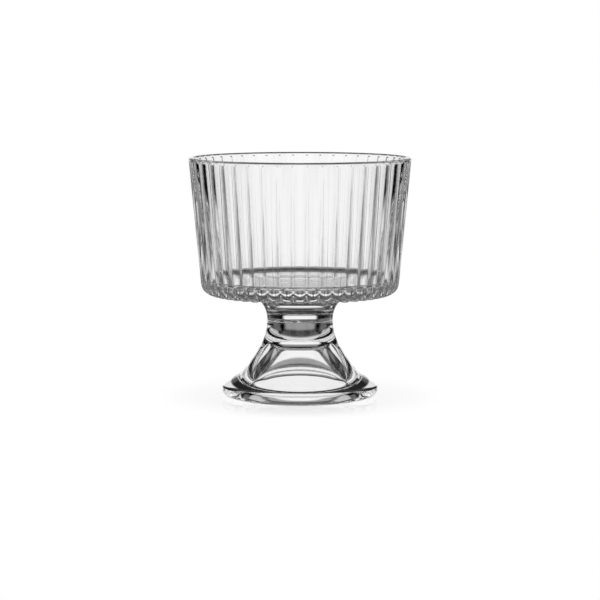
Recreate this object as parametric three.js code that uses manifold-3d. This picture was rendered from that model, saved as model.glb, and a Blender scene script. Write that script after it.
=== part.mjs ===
// A footed dessert bowl of clear pressed glass: a ribbed cup on a flared, hollow foot.
// Cup and foot were pressed apart and joined hot at the waist, where their flat faces meet.
// Lengths are in millimetres, +Z is up, and the origin is the middle of the ring it stands on.

import * as THREE from 'three';
import { mergeVertices } from 'three/addons/utils/BufferGeometryUtils.js';
import Module from 'manifold-3d';

// Overall sizes
const RIM_DIAMETER = 94;
const HEIGHT = 101;
const FOOT_DIAMETER = 66;

// Cup: a tapered wall that thickens downwards, on a thick flat floor, with a rounded rim and heel
const RIM_WALL = 2.4;
const WALL_DRAFT_DEGREES = 5.5;
const INNER_DRAFT_DEGREES = 6.8;
const RIM_ROUND = 0.8;
const FLOOR_THICKNESS = 5.7;
const HEEL_RADIUS = 5.5;
const INNER_HEEL_RADIUS = 2;

// Ribs: broad reeds down the outside of the cup, from a plain band under the rim's round edge.
// The grooves between them are narrow, more so with a higher power, and deepen towards the heel.
const RIB_COUNT = 48;
const RIB_DEPTH = 0.75;
const RIB_DEPTH_AT_RIM = 0.45;
const GROOVE_POWER = 3;
const RIM_BAND = 0.2;
const RIB_RUN_OUT = 1;

// Neck: a short stub that spreads into the underside of the cup
const WAIST_DIAMETER = 28;
const NECK_STRAIGHT = 0.6;
const NECK_FILLET = 10;

// Foot: a trumpet flare that ends in a rounded bead
const FOOT_HEIGHT = 32.4;
const BEAD_HEIGHT = 8.2;
const BEAD_SHOULDER = 6.4;
const BEAD_SHOULDER_DEGREES = 28;
const BEAD_TOP_ROUND = 2.25;
const BEAD_FOOT_ROUND = 2.5;

// Hollow under the foot, with an almost flat roof, and the broad ring left round its mouth
const HOLLOW_ROOF = 12.4;
const HOLLOW_ROOF_DIAMETER = 17.4;
const HOLLOW_ROOF_ROUND = 2;
const HOLLOW_ROOF_RISE = 0.3;
const STANDING_RING = 11;
const MOUTH_ROUND = 1;

// Fineness of the faceted surfaces
const SEGMENTS_PER_RIB = 6;
const SMOOTH_SEGMENTS = 72;
const ARC_STEPS = 4;
const RUN_OUT_STEPS = 2;
const FLARE_STEPS = 9;

// Clear glass, as it stands before a white ground
const GLASS_COLOUR = '#eaf0ef';
const GLASS_ROUGHNESS = 0.04;
const GLASS_OPACITY = 0.45;

const QUARTER_TURN = Math.PI / 2;
const wasm = await Module();
wasm.setup();

/** Points of a round stretch of an outline, centred at (r, z), between two angles. */
function arc(r, z, radius, from, to) {
  return new THREE.EllipseCurve(r, z, radius, radius, from, to, to < from).getPoints(ARC_STEPS);
}

/** Turns an outline of (radius, height) points, which starts and ends on the axis, about +Z. */
function turn(outline, segments) {
  const geometry = new THREE.LatheGeometry(outline, segments);
  geometry.rotateX(QUARTER_TURN);
  return geometry;
}

/** Makes a closed geometry a solid that can be joined and cut. */
function solid(geometry) {
  const bare = geometry.clone();
  bare.deleteAttribute('normal');
  bare.deleteAttribute('uv');
  const merged = mergeVertices(bare);
  const corners = merged.index.array;
  const triangles = [];
  for (let i = 0; i < corners.length; i += 3) {
    const [a, b, c] = corners.slice(i, i + 3);
    if (a !== b && b !== c && c !== a) triangles.push(a, b, c);
  }
  const vertProperties = new Float32Array(merged.attributes.position.array);
  const triVerts = new Uint32Array(triangles);
  return new wasm.Manifold(new wasm.Mesh({ numProp: 3, vertProperties, triVerts }));
}

/** Makes a solid a geometry again. */
function geometryOf(body) {
  const mesh = body.getMesh();
  const geometry = new THREE.BufferGeometry();
  geometry.setAttribute('position', new THREE.BufferAttribute(mesh.vertProperties, mesh.numProp));
  geometry.setIndex(new THREE.BufferAttribute(mesh.triVerts, 1));
  geometry.computeVertexNormals();
  return geometry;
}

/** A named piece of clear glass. */
function glassPiece(name, geometry) {
  const material = new THREE.MeshStandardMaterial({
    color: GLASS_COLOUR,
    roughness: GLASS_ROUGHNESS,
    metalness: 0,
    transparent: true,
    opacity: GLASS_OPACITY,
  });
  const piece = new THREE.Mesh(geometry, material);
  piece.name = name;
  return piece;
}

// The cup is drawn from the joint upwards, so its own height 0 is the flat end of its neck.
const outerDraft = THREE.MathUtils.degToRad(WALL_DRAFT_DEGREES);
const innerDraft = THREE.MathUtils.degToRad(INNER_DRAFT_DEGREES);
const rimHeight = HEIGHT - FOOT_HEIGHT;
const undersideHeight = NECK_STRAIGHT + NECK_FILLET;
const floorHeight = undersideHeight + FLOOR_THICKNESS;
const heelTop = undersideHeight + HEEL_RADIUS;
const rimRound = Math.min(RIM_ROUND, RIM_WALL / 2);
const rimCentreHeight = rimHeight - rimRound;
const rimCentreRadius = RIM_DIAMETER / 2 - rimRound;
const ribTopHeight = rimCentreHeight - RIM_BAND;

/** Radius of the outside of the cup, over the crests of its ribs. */
function outerRadius(height) {
  return RIM_DIAMETER / 2 - (rimCentreHeight - height) * Math.tan(outerDraft);
}

/** Radius of the inside of the cup. */
function innerRadius(height) {
  const atRim = RIM_DIAMETER / 2 - RIM_WALL / Math.cos(outerDraft);
  return atRim - (rimCentreHeight - height) * Math.tan(innerDraft);
}

/** Round corner between a level floor and a wall of the given radius and draft. */
function heelArc(levelHeight, wallRadius, draft, round) {
  const centreHeight = levelHeight + round;
  const centreRadius = wallRadius(centreHeight) - round / Math.cos(draft);
  return arc(centreRadius, centreHeight, round, -QUARTER_TURN, -draft);
}

/** Depth of the grooves at a height: nothing at the rim band, and most from the heel downwards. */
function grooveDepth(height) {
  const rise = THREE.MathUtils.clamp((height - heelTop) / (ribTopHeight - heelTop), 0, 1);
  const depth = THREE.MathUtils.lerp(RIB_DEPTH, RIB_DEPTH_AT_RIM, rise);
  return depth * THREE.MathUtils.smoothstep(ribTopHeight - height, 0, RIB_RUN_OUT);
}

/** Points down the run-out of the ribs, from the first below it up to the rim band. */
function runOutPoints() {
  const points = [];
  for (let step = 0; step <= RUN_OUT_STEPS; step += 1) {
    const height = ribTopHeight - RIB_RUN_OUT * (1 - step / RUN_OUT_STEPS);
    points.push(new THREE.Vector2(outerRadius(height), height));
  }
  return points;
}

/** Presses the grooves between the ribs into a turned cup, with a crest towards -Y. */
function pressRibs(geometry) {
  const pitch = (2 * Math.PI) / RIB_COUNT;
  const position = geometry.attributes.position;
  const point = new THREE.Vector3();
  for (let i = 0; i < position.count; i += 1) {
    point.fromBufferAttribute(position, i);
    const radius = Math.hypot(point.x, point.y);
    if (radius === 0) continue;
    const turns = Math.atan2(point.x, -point.y) / pitch;
    const offCrest = 2 * Math.abs(turns - Math.round(turns));
    const grooved = radius - grooveDepth(point.z) * offCrest ** GROOVE_POWER;
    position.setXY(i, (point.x * grooved) / radius, (point.y * grooved) / radius);
  }
  return geometry;
}

/** The cup before it is hollowed: heel, ribbed wall and the outer half of the rim. */
function cupBlank() {
  const outline = [
    new THREE.Vector2(0, undersideHeight),
    ...heelArc(undersideHeight, outerRadius, outerDraft, HEEL_RADIUS),
    ...runOutPoints(),
    ...arc(rimCentreRadius, rimCentreHeight, rimRound, 0, QUARTER_TURN),
    new THREE.Vector2(0, rimHeight),
  ];
  return solid(pressRibs(turn(outline, RIB_COUNT * SEGMENTS_PER_RIB)));
}

/** The space inside the cup, which opens over the inner half of the rim. */
function cupCavity() {
  const rimInnerRadius = innerRadius(rimCentreHeight) + rimRound;
  const outline = [
    new THREE.Vector2(0, floorHeight),
    ...heelArc(floorHeight, innerRadius, innerDraft, INNER_HEEL_RADIUS),
    ...arc(rimInnerRadius, rimCentreHeight, rimRound, Math.PI, QUARTER_TURN),
    new THREE.Vector2(rimInnerRadius, rimHeight + RIM_WALL),
    new THREE.Vector2(0, rimHeight + RIM_WALL),
  ];
  return solid(turn(outline, SMOOTH_SEGMENTS));
}

/** The neck under the cup, run up into the floor that it carries. */
function cupNeck() {
  const waistRadius = WAIST_DIAMETER / 2;
  const filletRadius = waistRadius + NECK_FILLET;
  const insideFloor = undersideHeight + FLOOR_THICKNESS / 2;
  const outline = [
    new THREE.Vector2(0, 0),
    new THREE.Vector2(waistRadius, 0),
    ...arc(filletRadius, NECK_STRAIGHT, NECK_FILLET, Math.PI, QUARTER_TURN),
    new THREE.Vector2(filletRadius, insideFloor),
    new THREE.Vector2(0, insideFloor),
  ];
  return solid(turn(outline, SMOOTH_SEGMENTS));
}

/** The cup with its ribs, floor and neck, standing on the foot. */
function makeBowl() {
  const body = cupBlank().subtract(cupCavity()).add(cupNeck());
  const bowl = glassPiece('bowl', geometryOf(body));
  bowl.position.z = FOOT_HEIGHT;
  return bowl;
}

/** The hollow's roof, faintly domed, from its middle out to an edge of the given radius and height. */
function roofOutline(edgeRadius, edgeHeight) {
  const domeRadius = (edgeRadius ** 2 + HOLLOW_ROOF_RISE ** 2) / (2 * HOLLOW_ROOF_RISE);
  const domeCentre = edgeHeight + HOLLOW_ROOF_RISE - domeRadius;
  const edgeAngle = Math.acos(edgeRadius / domeRadius);
  return arc(0, domeCentre, domeRadius, QUARTER_TURN, edgeAngle);
}

/** The hollow's outline, from the middle of its roof down to the standing ring. */
function hollowOutline() {
  const roofHeight = FOOT_HEIGHT - HOLLOW_ROOF;
  const roofRadius = HOLLOW_ROOF_DIAMETER / 2;
  const mouthRadius = FOOT_DIAMETER / 2 - STANDING_RING;
  const slant = Math.atan2(mouthRadius - roofRadius, roofHeight);
  const roofTangent = HOLLOW_ROOF_ROUND * Math.tan((QUARTER_TURN - slant) / 2);
  const mouthTangent = MOUTH_ROUND * Math.tan((QUARTER_TURN - slant) / 2);
  const roofCentre = new THREE.Vector2(roofRadius - roofTangent, roofHeight - HOLLOW_ROOF_ROUND);
  const mouthCentre = new THREE.Vector2(mouthRadius + mouthTangent, MOUTH_ROUND);
  return [
    ...roofOutline(roofCentre.x, roofHeight),
    ...arc(roofCentre.x, roofCentre.y, HOLLOW_ROOF_ROUND, QUARTER_TURN, slant).slice(1),
    ...arc(mouthCentre.x, mouthCentre.y, MOUTH_ROUND, Math.PI + slant, 3 * QUARTER_TURN),
  ];
}

/** The bead's outline, from the standing ring round its edge to the crease above it. */
function beadOutline() {
  const footRadius = FOOT_DIAMETER / 2;
  const slope = THREE.MathUtils.degToRad(BEAD_SHOULDER_DEGREES);
  const topRadius = footRadius - BEAD_TOP_ROUND;
  const shoulderDrop = (BEAD_SHOULDER - BEAD_TOP_ROUND) * Math.tan(slope);
  const topHeight = BEAD_HEIGHT - shoulderDrop - BEAD_TOP_ROUND / Math.cos(slope);
  return [
    ...arc(footRadius - BEAD_FOOT_ROUND, BEAD_FOOT_ROUND, BEAD_FOOT_ROUND, -QUARTER_TURN, 0),
    ...arc(topRadius, topHeight, BEAD_TOP_ROUND, 0, QUARTER_TURN - slope),
  ];
}

/** The flare's outline, a parabola from the crease up to the upright waist. */
function flareOutline() {
  const waist = new THREE.Vector2(WAIST_DIAMETER / 2, FOOT_HEIGHT);
  const crease = new THREE.Vector2(FOOT_DIAMETER / 2 - BEAD_SHOULDER, BEAD_HEIGHT);
  const bend = new THREE.Vector2(waist.x, (waist.y + crease.y) / 2);
  return new THREE.QuadraticBezierCurve(crease, bend, waist).getPoints(FLARE_STEPS);
}

/** The foot, from the ring that it stands on up to the joint at the waist. */
function makeFoot() {
  const outline = [
    ...hollowOutline(),
    ...beadOutline(),
    ...flareOutline(),
    new THREE.Vector2(0, FOOT_HEIGHT),
  ];
  return glassPiece('foot', geometryOf(solid(turn(outline, SMOOTH_SEGMENTS))));
}

const dessertBowl = new THREE.Group();
dessertBowl.name = 'footed_dessert_bowl';
dessertBowl.add(makeBowl(), makeFoot());

export default dessertBowl;
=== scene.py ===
"""A footed dessert bowl of clear pressed glass, in the bright light of a studio photograph.

The glass is colourless, so all that shows of it is what it bends: a white ground behind it,
the dark gaps between the light panels that stand round the set, and rings of painted light and
painted shadow on the floor under it.
"""

import logging
import math
from dataclasses import dataclass
from enum import Enum

import bpy
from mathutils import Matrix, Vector


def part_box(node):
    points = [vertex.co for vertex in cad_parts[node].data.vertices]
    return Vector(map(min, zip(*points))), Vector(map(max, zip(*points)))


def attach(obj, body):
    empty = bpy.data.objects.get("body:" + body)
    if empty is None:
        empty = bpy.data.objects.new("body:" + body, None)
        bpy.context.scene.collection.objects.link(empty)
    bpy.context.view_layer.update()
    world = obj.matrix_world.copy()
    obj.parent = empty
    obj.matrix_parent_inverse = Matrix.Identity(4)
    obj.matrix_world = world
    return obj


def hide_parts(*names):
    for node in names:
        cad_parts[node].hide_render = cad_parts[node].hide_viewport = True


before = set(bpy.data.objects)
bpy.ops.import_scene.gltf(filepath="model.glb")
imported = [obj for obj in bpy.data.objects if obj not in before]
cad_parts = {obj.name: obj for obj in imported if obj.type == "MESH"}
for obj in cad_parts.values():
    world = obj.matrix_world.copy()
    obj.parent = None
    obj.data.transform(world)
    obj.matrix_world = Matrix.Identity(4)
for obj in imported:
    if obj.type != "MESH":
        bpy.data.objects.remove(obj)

MM = 0.001
QUARTER_TURN = math.pi / 2
FULL_TURN = 2 * math.pi
MERGE_DISTANCE = 0.001 * MM
RIB_COUNT = 48
RIB_PITCH = FULL_TURN / RIB_COUNT

Outline = list[tuple[float, float]]
log = logging.getLogger("dessert_bowl")


class CadNode(str, Enum):
    """The two pieces of glass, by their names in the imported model."""

    BOWL = "bowl"
    FOOT = "foot"


class Ray(str, Enum):
    """The kind of ray that the studio set answers in its own way."""

    CAMERA = "Is Camera Ray"


def linear(colour: str) -> tuple[float, float, float, float]:
    """Turns an sRGB hex colour into the linear colour that nodes take.

    Args:
        colour: Six hex digits after a hash sign.

    Returns:
        Red, green, blue and an alpha of 1.
    """
    # The sRGB curve is straight near black and a power above that.
    channels = []
    for start in (1, 3, 5):
        share = int(colour[start:start + 2], 16) / 255
        channels.append(share / 12.92 if share <= 0.04045 else ((share + 0.055) / 1.055) ** 2.4)
    return (*channels, 1.0)


def add_node(tree: bpy.types.NodeTree, kind: str, settings: dict, inputs: dict) -> bpy.types.Node:
    """Adds a node with its settings, and gives each named input a value or a link.

    Args:
        tree: The node tree that takes the node.
        kind: The node's type, such as ShaderNodeMath.
        settings: The node's own properties.
        inputs: Values or output sockets, by the input's name or number.

    Returns:
        The new node.
    """
    node = tree.nodes.new(kind)
    for name, value in settings.items():
        setattr(node, name, value)
    for key, value in inputs.items():
        if isinstance(value, bpy.types.NodeSocket):
            tree.links.new(value, node.inputs[key])
        else:
            node.inputs[key].default_value = value
    return node


def cut_off(tree: bpy.types.NodeTree, level: float, edges: tuple) -> bpy.types.NodeSocket:
    """Adds nodes that fade a level out softly across each of its edges.

    Args:
        tree: The node tree that takes the nodes.
        level: The level inside all the edges.
        edges: For each edge a socket, its value where the fade starts and its value where it ends.

    Returns:
        What is left of the level.
    """
    left = level
    for value, inside, outside in edges:
        fade = add_node(tree, "ShaderNodeMapRange", {"interpolation_type": "SMOOTHSTEP"}, {
            "Value": value,
            "From Min": inside,
            "From Max": outside,
            "To Min": 1.0,
            "To Max": 0.0,
        })
        left = add_node(tree, "ShaderNodeMath", {"operation": "MULTIPLY"},
                        {0: left, 1: fade.outputs[0]}).outputs[0]
    return left


def angle_from_back(tree: bpy.types.NodeTree, place: bpy.types.NodeSocket) -> bpy.types.NodeSocket:
    """Adds nodes that work out how far round from straight behind the bowl a place lies.

    Args:
        tree: The node tree that takes the nodes.
        place: The place, or the direction to it.

    Returns:
        The angle, without its sign.
    """
    split = add_node(tree, "ShaderNodeSeparateXYZ", {}, {"Vector": place})
    turn = add_node(tree, "ShaderNodeMath", {"operation": "ARCTAN2"},
                    {0: split.outputs["X"], 1: split.outputs["Y"]})
    return add_node(tree, "ShaderNodeMath", {"operation": "ABSOLUTE"}, {0: turn.outputs[0]}).outputs[0]


def smoothstep(value: float, low: float, high: float) -> float:
    """Rises softly from 0 at low to 1 at high."""
    share = min(1.0, max(0.0, (value - low) / (high - low)))
    return share * share * (3 - 2 * share)


def arc(r: float, z: float, radius: float, start: float, end: float, steps: int) -> Outline:
    """Points of a round stretch of an outline.

    Args:
        r: Distance of its centre from the axis, in millimetres.
        z: Height of its centre.
        radius: Radius of the stretch.
        start: Angle of its first point, from outwards towards up.
        end: Angle of its last point.
        steps: How many lengths it is drawn in.

    Returns:
        The points, with both ends.
    """
    angles = (start + (end - start) * step / steps for step in range(steps + 1))
    return [(r + radius * math.cos(angle), z + radius * math.sin(angle)) for angle in angles]


def bend(start: tuple, corner: tuple, end: tuple, steps: int) -> Outline:
    """Points of a parabola that leaves start and reaches end along the lines from a corner.

    Args:
        start: Its first point.
        corner: Where the lines along its two ends cross.
        end: Its last point.
        steps: How many lengths it is drawn in.

    Returns:
        The points, with both ends.
    """
    points = []
    for step in range(steps + 1):
        share = step / steps
        weights = ((1 - share) ** 2, 2 * share * (1 - share), share ** 2)
        points.append(tuple(
            sum(weight * point[axis] for weight, point in zip(weights, (start, corner, end)))
            for axis in (0, 1)
        ))
    return points


def line(start: tuple, end: tuple, steps: int) -> Outline:
    """Points between two ends of a straight stretch, without the ends."""
    return bend(start, ((start[0] + end[0]) / 2, (start[1] + end[1]) / 2), end, steps)[1:-1]


@dataclass(frozen=True)
class PressedGlass:
    """Colourless soda-lime glass, pressed in an iron mould and fire-polished.

    The polish makes it clear and bright. The cool mould leaves its skin faintly wavy, which
    makes the lines seen through it waver, and fine chill marks roughen those lines.
    """

    name: str = "soda_lime_glass_pressed_fire_polished"
    tint: str = "#fefefe"
    ior: float = 1.52
    roughness: float = 0.0
    wave_length: float = 7.0
    wave_height: float = 0.012
    chill_mark: float = 0.9
    chill_height: float = 0.0012

    def material(self) -> bpy.types.Material:
        """Makes the glass, with its waves and chill marks at their real sizes.

        Returns:
            The material.
        """
        # Fire-polished glass gives the eye no colour of its own, only clear and slightly wavering lines.
        glass = bpy.data.materials.new(self.name)
        glass.use_nodes = True
        tree = glass.node_tree
        shader = tree.nodes["Principled BSDF"]
        shader.inputs["Base Color"].default_value = linear(self.tint)
        shader.inputs["Roughness"].default_value = self.roughness
        shader.inputs["IOR"].default_value = self.ior
        shader.inputs["Transmission Weight"].default_value = 1.0
        place = add_node(tree, "ShaderNodeTexCoord", {}, {}).outputs["Object"]
        normal = None
        for length, height in ((self.wave_length, self.wave_height), (self.chill_mark, self.chill_height)):
            skin = add_node(tree, "ShaderNodeTexNoise", {}, {
                "Vector": place,
                "Scale": 1 / (length * MM),
                "Detail": 1.0,
            })
            inputs = {"Height": skin.outputs[0], "Distance": height * MM, "Strength": 1.0}
            if normal:
                inputs["Normal"] = normal
            normal = add_node(tree, "ShaderNodeBump", {}, inputs).outputs["Normal"]
        tree.links.new(normal, shader.inputs["Normal"])
        return glass


@dataclass(frozen=True)
class Weld:
    """The hot joint at the waist, where a rippled film of air was caught between the pieces."""

    film: float = 0.02
    edge_round: float = 0.3
    ripple: float = 0.3
    ripple_fade: float = 2.0
    broad_lobes: int = 2
    broad_twist: float = 0.35
    fine_lobes: int = 5
    fine_twist: float = 0.6
    fine_share: float = 0.4

    def lift(self, r: float, angle: float, phase: float) -> float:
        """How far one face stands off the film at a place on it, in millimetres.

        Args:
            r: Distance from the axis.
            angle: Direction from the axis.
            phase: Shifts the ripples, so that the two faces differ.

        Returns:
            The distance, which is never below zero.
        """
        broad = math.sin(self.broad_lobes * angle + self.broad_twist * r + phase)
        fine = math.sin(self.fine_lobes * angle - self.fine_twist * r + 2 * phase)
        fade = min(1.0, r / self.ripple_fade)
        return self.ripple * fade * abs(broad + self.fine_share * fine)


@dataclass
class TurnedGlass:
    """A closed piece of glass that is turned about +Z from an outline in millimetres."""

    name: str
    node: CadNode
    steps_per_rib: int
    weld: Weld

    def outline(self) -> Outline:
        """The outline, from the axis round the piece and back to the axis."""
        raise NotImplementedError

    def press(self, place: Vector) -> Vector:
        """Moves a point of the turned mesh to where the mould pressed it, in millimetres."""
        raise NotImplementedError

    def repeat(self, obj: bpy.types.Object) -> None:
        """Copies one rib's share of the piece all the way round the axis.

        Args:
            obj: One rib's share of the piece, which becomes the whole.
        """
        bpy.ops.object.empty_add(rotation=(0, 0, RIB_PITCH))
        turn = bpy.context.object
        copies = obj.modifiers.new("ribs", "ARRAY")
        copies.count = RIB_COUNT
        copies.use_relative_offset = False
        copies.use_object_offset = True
        copies.offset_object = turn
        bpy.context.view_layer.objects.active = obj
        bpy.ops.object.modifier_apply(modifier=copies.name)
        bpy.data.objects.remove(turn)
        bpy.ops.object.select_all(action="DESELECT")
        obj.select_set(True)

    def build(self) -> bpy.types.Object:
        """Draws the outline, turns one rib's share of it, repeats that and presses it into shape.

        Returns:
            The finished piece, with its place in its mesh.
        """
        points = [Vector((r, 0, z)) * MM for r, z in self.outline()]
        bpy.ops.object.select_all(action="DESELECT")
        bpy.ops.mesh.primitive_plane_add(size=MM)
        obj = bpy.context.object
        obj.name = self.name
        obj.data.name = self.name
        bpy.ops.object.mode_set(mode="EDIT")
        bpy.ops.mesh.select_mode(type="VERT")
        bpy.ops.mesh.merge(type="CENTER")
        bpy.ops.transform.translate(value=points[0])
        for before, after in zip(points, points[1:]):
            bpy.ops.mesh.extrude_vertices_move(TRANSFORM_OT_translate={"value": after - before})
        bpy.ops.mesh.select_all(action="SELECT")
        bpy.ops.mesh.spin(steps=self.steps_per_rib, angle=RIB_PITCH, center=(0, 0, 0), axis=(0, 0, 1))
        bpy.ops.object.mode_set(mode="OBJECT")
        self.repeat(obj)
        bpy.ops.object.mode_set(mode="EDIT")
        bpy.ops.mesh.select_all(action="SELECT")
        bpy.ops.mesh.remove_doubles(threshold=MERGE_DISTANCE)
        bpy.ops.mesh.normals_make_consistent(inside=False)
        bpy.ops.object.mode_set(mode="OBJECT")
        for vertex in obj.data.vertices:
            vertex.co = self.press(vertex.co / MM) * MM
        bpy.ops.object.shade_smooth()
        return obj

    def dress(self, obj: bpy.types.Object, glass: bpy.types.Material) -> None:
        """Gives the piece its glass, and sets it in the place of its CAD node.

        Args:
            obj: The finished piece.
            glass: Its material.
        """
        obj.data.materials.append(glass)
        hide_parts(self.node.value)
        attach(obj, "root")


@dataclass
class RibbedBowl(TurnedGlass):
    """The cup: a tapered wall with ribs outside, a rounded rim, a thick floor and a short neck."""

    rim_radius: float
    rim_height: float
    joint_height: float
    waist_radius: float
    rim_wall: float = 2.4
    wall_draft: float = math.radians(5.5)
    inner_draft: float = math.radians(6.8)
    rim_round: float = 0.8
    floor_thickness: float = 5.7
    heel: float = 5.5
    inner_heel: float = 2.0
    neck_straight: float = 0.6
    neck_fillet: float = 10.0
    rib_depth: float = 0.75
    rim_depth: float = 0.6
    groove_power: float = 3.0
    rim_band: float = 0.2
    rib_run_out: float = 1.0
    rib_under: float = 5.0
    heel_depth: float = 2.6

    def __post_init__(self) -> None:
        """Works out the heights that the sizes lead to."""
        self.rim_centre = self.rim_height - self.rim_round
        self.rib_top = self.rim_centre - self.rim_band
        self.underside = self.joint_height + self.neck_straight + self.neck_fillet
        self.inside_floor = self.underside + self.floor_thickness
        self.heel_centre = self.underside + self.heel
        self.heel_centre_radius = self.outer(self.heel_centre) - self.heel / math.cos(self.wall_draft)

    def outer(self, z: float) -> float:
        """Radius of the outside of the cup, over the crests of its ribs."""
        return self.rim_radius - (self.rim_centre - z) * math.tan(self.wall_draft)

    def inner(self, z: float) -> float:
        """Radius of the inside of the cup."""
        rim_inside = self.rim_radius - self.rim_wall / math.cos(self.wall_draft)
        return rim_inside - (self.rim_centre - z) * math.tan(self.inner_draft)

    def outline(self) -> Outline:
        """The outline, from the joint up the outside, over the rim and down to the floor.

        Returns:
            The points, from the axis round the cup and back to the axis.
        """
        face = self.joint_height + self.weld.film / 2
        edge = self.weld.edge_round
        edge_radius = self.waist_radius - edge
        fillet_radius = self.waist_radius + self.neck_fillet
        neck_top = self.joint_height + self.neck_straight
        wall_foot = self.heel_centre - self.heel * math.sin(self.wall_draft)
        run_out_foot = self.rib_top - self.rib_run_out
        inner_centre = self.inside_floor + self.inner_heel
        inner_centre_radius = self.inner(inner_centre) - self.inner_heel / math.cos(self.inner_draft)
        rim_inner = self.inner(self.rim_centre) + self.rim_round
        inner_foot = inner_centre - self.inner_heel * math.sin(self.inner_draft)
        wall_start = (self.outer(wall_foot), wall_foot)
        run_out_start = (self.outer(run_out_foot), run_out_foot)
        ribs_end = (self.outer(self.rib_top), self.rib_top)
        wall_inside_top = (self.inner(self.rim_centre), self.rim_centre)
        wall_inside_foot = (self.inner(inner_foot), inner_foot)
        return [
            (0.0, face),
            *line((0.0, face), (edge_radius, face), steps=24),
            *arc(edge_radius, face + edge, edge, -QUARTER_TURN, 0, steps=4),
            *arc(fillet_radius, neck_top, self.neck_fillet, 2 * QUARTER_TURN, QUARTER_TURN, steps=20),
            *line((fillet_radius, self.underside), (self.heel_centre_radius, self.underside), steps=12),
            *arc(self.heel_centre_radius, self.heel_centre, self.heel,
                 -QUARTER_TURN, -self.wall_draft, steps=18),
            *line(wall_start, run_out_start, steps=12),
            run_out_start,
            *line(run_out_start, ribs_end, steps=8),
            ribs_end,
            *arc(self.rim_radius - self.rim_round, self.rim_centre, self.rim_round,
                 0, QUARTER_TURN, steps=9),
            *arc(rim_inner, self.rim_centre, self.rim_round, QUARTER_TURN, 2 * QUARTER_TURN, steps=9),
            *line(wall_inside_top, wall_inside_foot, steps=12),
            *arc(inner_centre_radius, inner_centre, self.inner_heel,
                 -self.inner_draft, -QUARTER_TURN, steps=10),
            *line((inner_centre_radius, self.inside_floor), (0.0, self.inside_floor), steps=8),
            (0.0, self.inside_floor),
        ]

    def groove_share(self, r: float, z: float) -> float:
        """How deep the grooves are at a place on the outside, as a share of their depth over the heel.

        Args:
            r: Distance from the axis.
            z: Height.

        Returns:
            Nothing at the rim and inside the cup, and most at the foot of the heel.
        """
        if z > self.inside_floor and r < (self.outer(z) + self.inner(z)) / 2:
            return 0.0
        if z > self.heel_centre:
            share = (z - self.heel_centre) / (self.rib_top - self.heel_centre)
            depth = 1 + (self.rim_depth - 1) * share
            return depth * smoothstep(self.rib_top - z, 0, self.rib_run_out)
        deepening = 1 + (self.heel_depth - 1) * smoothstep(self.heel_centre - z, 0, self.heel)
        ribs_end = self.heel_centre_radius - self.rib_under
        return deepening * smoothstep(r, ribs_end, self.heel_centre_radius)

    def inward(self, r: float, z: float) -> tuple[float, float]:
        """The way into the glass from a place on the outside: sideways on the wall, up from below.

        Args:
            r: Distance from the axis.
            z: Height.

        Returns:
            The way's shares away from the axis and upwards.
        """
        if z > self.heel_centre:
            return (-1.0, 0.0)
        if r < self.heel_centre_radius:
            return (0.0, 1.0)
        across = self.heel_centre_radius - r
        up = self.heel_centre - z
        length = math.hypot(across, up)
        return (across / length, up / length)

    def press(self, place: Vector) -> Vector:
        """Presses the grooves between the ribs, with a crest towards -Y, and ripples the joint's face.

        Args:
            place: A point of the turned mesh, in millimetres.

        Returns:
            Where the mould pressed it.
        """
        x, y, z = place
        r = math.hypot(x, y)
        angle = math.atan2(x, -y)
        if z < self.joint_height + self.weld.film and r < self.waist_radius - self.weld.edge_round:
            return Vector((x, y, z + self.weld.lift(r, angle, phase=1.0)))
        turns = angle / RIB_PITCH
        off_crest = 2 * abs(turns - round(turns))
        depth = self.rib_depth * self.groove_share(r, z) * off_crest ** self.groove_power
        if depth == 0:
            return place
        across, up = self.inward(r, z)
        pressed = 1 + depth * across / r
        return Vector((x * pressed, y * pressed, z + depth * up))


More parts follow.
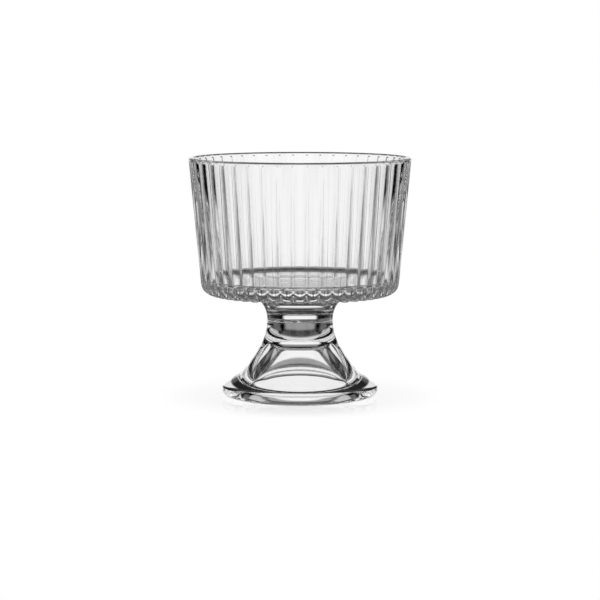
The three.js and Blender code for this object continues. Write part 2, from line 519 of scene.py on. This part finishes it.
@dataclass
class FlaredFoot(TurnedGlass):
    """The foot: a trumpet flare on a rounded bead, with a hollow pressed up into it."""

    foot_radius: float
    joint_height: float
    waist_radius: float
    bead_height: float = 8.2
    bead_shoulder: float = 6.4
    shoulder_slope: float = math.radians(28)
    bead_top_round: float = 2.25
    bead_foot_round: float = 2.5
    crease_soft: float = 1.3
    hollow_roof: float = 12.4
    roof_radius: float = 8.7
    roof_round: float = 2.0
    roof_rise: float = 0.3
    standing_ring: float = 11.0
    mouth_round: float = 1.0

    def hollow_outline(self) -> Outline:
        """The hollow, from the middle of its domed roof down to the ring that the foot stands on.

        Returns:
            The points, with both ends.
        """
        roof_height = self.joint_height - self.hollow_roof
        mouth_radius = self.foot_radius - self.standing_ring
        slant = math.atan2(mouth_radius - self.roof_radius, roof_height)
        tangent = math.tan((QUARTER_TURN - slant) / 2)
        roof_edge = self.roof_radius - self.roof_round * tangent
        roof_centre = roof_height - self.roof_round
        mouth_centre = mouth_radius + self.mouth_round * tangent
        dome_radius = (roof_edge ** 2 + self.roof_rise ** 2) / (2 * self.roof_rise)
        dome_centre = roof_height + self.roof_rise - dome_radius
        dome_end = math.acos(roof_edge / dome_radius)
        dome = arc(0.0, dome_centre, dome_radius, QUARTER_TURN, dome_end, steps=12)
        roof_bend = arc(roof_edge, roof_centre, self.roof_round, QUARTER_TURN, slant, steps=8)
        mouth_bend = arc(mouth_centre, self.mouth_round, self.mouth_round,
                         2 * QUARTER_TURN + slant, 3 * QUARTER_TURN, steps=6)
        return [*dome[:-1], *roof_bend, *line(roof_bend[-1], mouth_bend[0], steps=16), *mouth_bend]

    def bead_outline(self) -> Outline:
        """The bead, from the standing ring round its edge and up its shoulder.

        Returns:
            The points, with both ends.
        """
        top_radius = self.foot_radius - self.bead_top_round
        shoulder_drop = (self.bead_shoulder - self.bead_top_round) * math.tan(self.shoulder_slope)
        top_height = self.bead_height - shoulder_drop - self.bead_top_round / math.cos(self.shoulder_slope)
        low_radius = self.foot_radius - self.bead_foot_round
        return [
            *arc(low_radius, self.bead_foot_round, self.bead_foot_round, -QUARTER_TURN, 0, steps=10),
            *arc(top_radius, top_height, self.bead_top_round,
                 0, QUARTER_TURN - self.shoulder_slope, steps=10),
        ]

    def flare_outline(self, shoulder: tuple[float, float]) -> Outline:
        """The flare, from the soft crease over the bead up to the waist.

        Args:
            shoulder: The last point of the bead, where its shoulder starts.

        Returns:
            The points up to the edge of the joint.
        """
        crease = (self.foot_radius - self.bead_shoulder, self.bead_height)
        waist = (self.waist_radius, self.joint_height)
        flare = bend(crease, (self.waist_radius, (waist[1] + crease[1]) / 2), waist, steps=48)
        low = (crease[0] + self.crease_soft, crease[1] - self.crease_soft * math.tan(self.shoulder_slope))
        clear = [point for point in flare if math.dist(point, crease) > self.crease_soft]
        edge = self.weld.edge_round
        face = self.joint_height - self.weld.film / 2
        below_edge = [point for point in clear if point[1] < face - edge]
        return [
            *line(shoulder, low, steps=4),
            *bend(low, crease, below_edge[0], steps=8),
            *below_edge[1:],
            *arc(self.waist_radius - edge, face - edge, edge, 0, QUARTER_TURN, steps=4),
        ]

    def outline(self) -> Outline:
        """The outline, from the roof of the hollow round the bead and up the flare to the joint.

        Returns:
            The points, from the axis round the foot and back to the axis.
        """
        bead = self.bead_outline()
        hollow = self.hollow_outline()
        face = self.joint_height - self.weld.film / 2
        joint_edge = (self.waist_radius - self.weld.edge_round, face)
        return [
            *hollow,
            *line(hollow[-1], bead[0], steps=4),
            *bead,
            *self.flare_outline(bead[-1]),
            *line(joint_edge, (0.0, face), steps=24),
            (0.0, face),
        ]

    def press(self, place: Vector) -> Vector:
        """Ripples the joint's face.

        Args:
            place: A point of the turned mesh, in millimetres.

        Returns:
            Where the weld left it.
        """
        x, y, z = place
        r = math.hypot(x, y)
        if z < self.joint_height - self.weld.film or r > self.waist_radius - self.weld.edge_round:
            return place
        return Vector((x, y, z - self.weld.lift(r, math.atan2(x, -y), phase=-1.0)))


@dataclass(frozen=True)
class LightPanel:
    """A white panel on each side of the set, by the directions in degrees that it fills from the bowl."""

    centre: float
    half_width: float
    bottom: float
    top: float
    level: float


@dataclass(frozen=True)
class PaintedLightRing:
    """A ring of the floor, as the glass sees it, that glows at a level of its own: painted light where the
    level is high and painted shadow where it is low, with soft edges, in millimetres.

    The ring can be open at the back, from straight behind the bowl to an angle in degrees.
    """

    outer: float
    edge: float
    level: float
    inner: float = 0.0
    open_to: float = 0.0


@dataclass(frozen=True)
class StudioSet:
    """White panels round the bowl with dark gaps between them, and a glossy floor on which the glass sees
    rings of painted light and painted shadow.
    """

    panels: tuple[LightPanel, ...] = (
        LightPanel(centre=0, half_width=18, bottom=-10, top=7, level=0.97),
        LightPanel(centre=0, half_width=9, bottom=-10, top=7, level=1.0),
        LightPanel(centre=0, half_width=16, bottom=12, top=18, level=0.3),
        LightPanel(centre=36, half_width=5, bottom=16, top=24, level=0.12),
        LightPanel(centre=58, half_width=20, bottom=30, top=50, level=0.55),
        LightPanel(centre=90, half_width=10, bottom=-10, top=8, level=0.16),
        LightPanel(centre=135, half_width=10, bottom=-10, top=18, level=0.6),
        LightPanel(centre=180, half_width=12, bottom=-10, top=18, level=0.6),
    )
    # Painted light and shade on the floor, for the glass only: a broad pool of painted light round the
    # front and sides, a painted pool of light under the foot, a dark disc of painted contact shadow, and
    # painted light again in the middle, which leaves the painted shadow as a ring under the foot's standing
    # ring.
    painted_light_rings: tuple[PaintedLightRing, ...] = (
        PaintedLightRing(outer=350, edge=70, level=0.75, inner=170, open_to=50),
        PaintedLightRing(outer=34, edge=16, level=0.95),
        # Painted contact shadow under the standing ring of the bead.
        PaintedLightRing(outer=26, edge=1, level=0.02),
        PaintedLightRing(outer=20, edge=1, level=0.95),
    )
    panel_edge: float = 6.0
    ring_fade: float = 14.0
    floor_size: float = 6.0
    floor_gloss: float = 0.24
    floor_blur: float = 0.08
    gloss_from: float = 34.0
    gloss_to: float = 66.0
    mirror_blur: float = 0.05

    def panel_light(self, tree: bpy.types.NodeTree, turn: bpy.types.NodeSocket,
                    rise: bpy.types.NodeSocket, panel: LightPanel) -> bpy.types.NodeSocket:
        """Adds one panel to the world, with its soft edges.

        Args:
            tree: The world's nodes.
            turn: The direction's angle from straight behind, without its sign.
            rise: The direction's angle over the floor.
            panel: The panel.

        Returns:
            The panel's light in that direction.
        """
        away = add_node(tree, "ShaderNodeMath", {"operation": "SUBTRACT"},
                        {0: turn, 1: math.radians(panel.centre)})
        off = add_node(tree, "ShaderNodeMath", {"operation": "ABSOLUTE"}, {0: away.outputs[0]})
        half_width = math.radians(panel.half_width)
        bottom = math.radians(panel.bottom)
        top = math.radians(panel.top)
        edge = math.radians(self.panel_edge)
        return cut_off(tree, panel.level, (
            (off.outputs[0], half_width, half_width + edge),
            (rise, top, top + edge),
            (rise, bottom, bottom - edge),
        ))

    def light(self) -> None:
        """Makes the world: the panels in the dark, and white wherever the camera looks past the bowl."""
        world = bpy.data.worlds.new("white_studio")
        world.use_nodes = True
        bpy.context.scene.world = world
        tree = world.node_tree
        place = add_node(tree, "ShaderNodeTexCoord", {}, {}).outputs["Generated"]
        split = add_node(tree, "ShaderNodeSeparateXYZ", {}, {"Vector": place})
        rise = add_node(tree, "ShaderNodeMath", {"operation": "ARCSINE"}, {0: split.outputs["Z"]})
        turn = angle_from_back(tree, place)
        ray = add_node(tree, "ShaderNodeLightPath", {}, {})
        level = ray.outputs[Ray.CAMERA.value]
        for panel in self.panels:
            light = self.panel_light(tree, turn, rise.outputs[0], panel)
            brightest = add_node(tree, "ShaderNodeMath", {"operation": "MAXIMUM"}, {0: level, 1: light})
            level = brightest.outputs[0]
        ground = tree.nodes["Background"]
        ground.inputs["Color"].default_value = linear("#ffffff")
        tree.links.new(level, ground.inputs["Strength"])

    def acrylic(self) -> bpy.types.Material:
        """Makes the floor's sheet, white with a faint reflection, and for the glass a mirror with glowing
        rings of painted light and painted shadow.

        Returns:
            The material.
        """
        # Polished acrylic gives the eye plain white, and close to the foot a weak image of it.
        sheet = bpy.data.materials.new("white_acrylic_sheet_polished_with_painted_light_rings")
        sheet.use_nodes = True
        tree = sheet.node_tree
        tree.nodes.remove(tree.nodes["Principled BSDF"])
        white = linear("#ffffff")
        lit = add_node(tree, "ShaderNodeEmission", {}, {"Color": white, "Strength": 1.0})
        gloss = add_node(tree, "ShaderNodeBsdfGlossy", {}, {"Color": white, "Roughness": self.floor_blur})
        mirror = add_node(tree, "ShaderNodeBsdfGlossy", {}, {"Color": white, "Roughness": self.mirror_blur})
        place = add_node(tree, "ShaderNodeTexCoord", {}, {}).outputs["Object"]
        away = add_node(tree, "ShaderNodeVectorMath", {"operation": "LENGTH"}, {0: place}).outputs["Value"]
        side = angle_from_back(tree, place)
        shine = cut_off(tree, self.floor_gloss, ((away, self.gloss_from * MM, self.gloss_to * MM),))
        seen = add_node(tree, "ShaderNodeMixShader", {}, {0: shine, 1: lit.outputs[0], 2: gloss.outputs[0]})
        under = mirror.outputs[0]
        # For rays from the glass, glowing patches cover the mirror: painted pools of light, and a ring of
        # painted contact shadow under the foot.
        for ring in self.painted_light_rings:
            painted_patch = add_node(tree, "ShaderNodeEmission", {}, {"Color": white, "Strength": ring.level})
            share = cut_off(tree, 1.0, (
                (away, ring.outer * MM, (ring.outer + ring.edge) * MM),
                (away, ring.inner * MM, (ring.inner - ring.edge) * MM),
                (side, math.radians(ring.open_to), math.radians(ring.open_to - self.ring_fade)),
            ))
            under = add_node(tree, "ShaderNodeMixShader", {},
                             {0: share, 1: under, 2: painted_patch.outputs[0]}).outputs[0]
        ray = add_node(tree, "ShaderNodeLightPath", {}, {})
        both = add_node(tree, "ShaderNodeMixShader", {},
                        {0: ray.outputs[Ray.CAMERA.value], 1: under, 2: seen.outputs[0]})
        tree.links.new(both.outputs[0], tree.nodes["Material Output"].inputs["Surface"])
        return sheet

    def floor(self) -> bpy.types.Object:
        """Lays the floor under the bowl.

        Returns:
            The floor.
        """
        bpy.ops.object.select_all(action="DESELECT")
        bpy.ops.mesh.primitive_plane_add(size=self.floor_size)
        floor = bpy.context.object
        floor.name = "studio_floor"
        floor.data.materials.append(self.acrylic())
        return floor


@dataclass(frozen=True)
class StudioCamera:
    """A long lens in front of the bowl and a little above its rim."""

    distance: float = 0.951
    height: float = 0.149
    pitch: float = math.radians(6.51)
    lens: float = 135.5
    sensor: float = 36.0
    near: float = 0.01

    def place(self) -> bpy.types.Object:
        """Makes the camera and sets it as the scene's own.

        Returns:
            The camera.
        """
        data = bpy.data.cameras.new("studio_camera")
        data.sensor_fit = "HORIZONTAL"
        data.sensor_width = self.sensor
        data.lens = self.lens
        data.clip_start = self.near
        camera = bpy.data.objects.new("studio_camera", data)
        camera.location = (0, -self.distance, self.height)
        camera.rotation_euler = (QUARTER_TURN - self.pitch, 0, 0)
        bpy.context.scene.collection.objects.link(camera)
        bpy.context.scene.camera = camera
        return camera


def let_light_through(bounces: int) -> None:
    """Lets rays pass through many faces of glass, and leaves the picture's colours plain.

    Args:
        bounces: How many faces a ray may meet.
    """
    scene = bpy.context.scene
    for name in ("max_bounces", "transmission_bounces", "glossy_bounces", "transparent_max_bounces"):
        setattr(scene.cycles, name, bounces)
    scene.view_settings.view_transform = "Standard"


def main() -> None:
    """Builds the two pieces of glass and the set round them."""
    logging.basicConfig(level=logging.INFO, format="%(name)s: %(message)s")
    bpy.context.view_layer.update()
    bowl_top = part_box(CadNode.BOWL.value)[1] / MM
    foot_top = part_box(CadNode.FOOT.value)[1] / MM
    weld = Weld()
    waist_radius = 14.0
    pieces = (
        RibbedBowl("ribbed_bowl", CadNode.BOWL, steps_per_rib=12, weld=weld,
                   rim_radius=bowl_top.x, rim_height=bowl_top.z,
                   joint_height=foot_top.z, waist_radius=waist_radius),
        FlaredFoot("flared_foot", CadNode.FOOT, steps_per_rib=6, weld=weld,
                   foot_radius=foot_top.x, joint_height=foot_top.z, waist_radius=waist_radius),
    )
    glass = PressedGlass().material()
    for piece in pieces:
        obj = piece.build()
        piece.dress(obj, glass)
        log.info("%s: %d vertices", obj.name, len(obj.data.vertices))
    studio = StudioSet()
    studio.light()
    log.info("%s laid", studio.floor().name)
    log.info("%s placed", StudioCamera().place().name)
    let_light_through(bounces=40)


if __name__ == "__main__":
    main()
